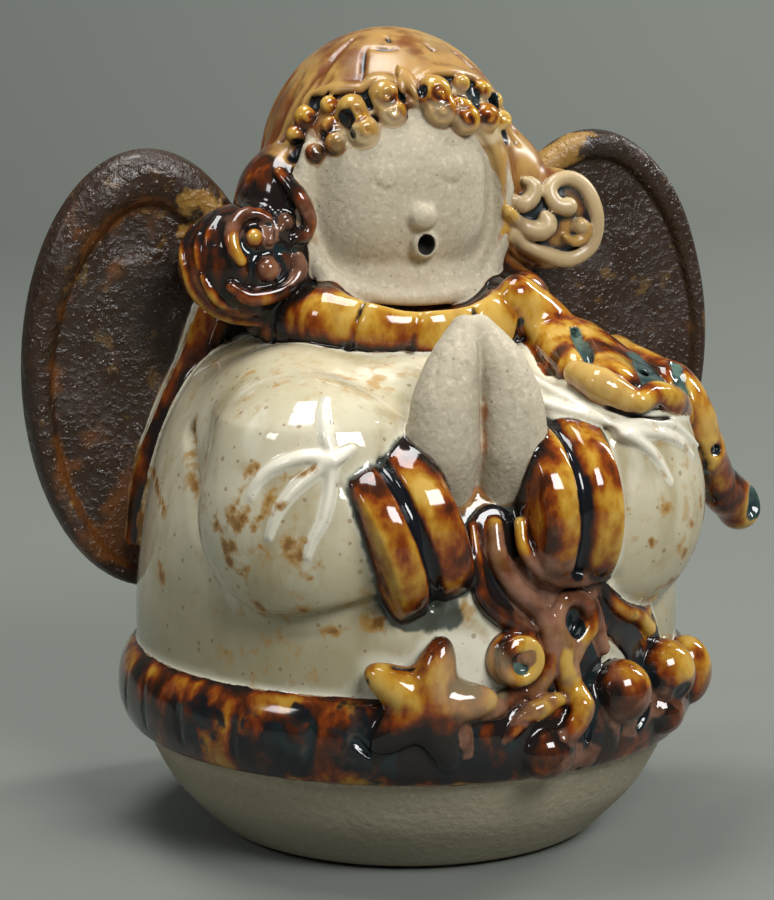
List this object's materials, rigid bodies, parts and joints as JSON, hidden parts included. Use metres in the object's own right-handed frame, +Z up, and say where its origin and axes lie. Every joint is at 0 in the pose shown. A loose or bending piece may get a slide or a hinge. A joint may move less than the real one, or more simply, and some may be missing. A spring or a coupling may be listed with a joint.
{
  "type": "angel figurine",
  "caption": "Round-bodied praying angel figurine in glazed stoneware, with rounded wings, curled hair, cuffed sleeves and a relief-trimmed hem band.",
  "frame": {"origin": "centre of the flat foot, on the surface it stands on", "axes": "+Z up through the head, the figure faces -Y, its own left hand side is +X"},
  "size_m": [0.1682, 0.1381, 0.18],
  "materials": {
    "glazed_stoneware": "glazed and bare stoneware, gloss to matt"
  },
  "bodies": {
    "root": {"angel_figurine": "glazed_stoneware"}
  },
  "joints": []
}
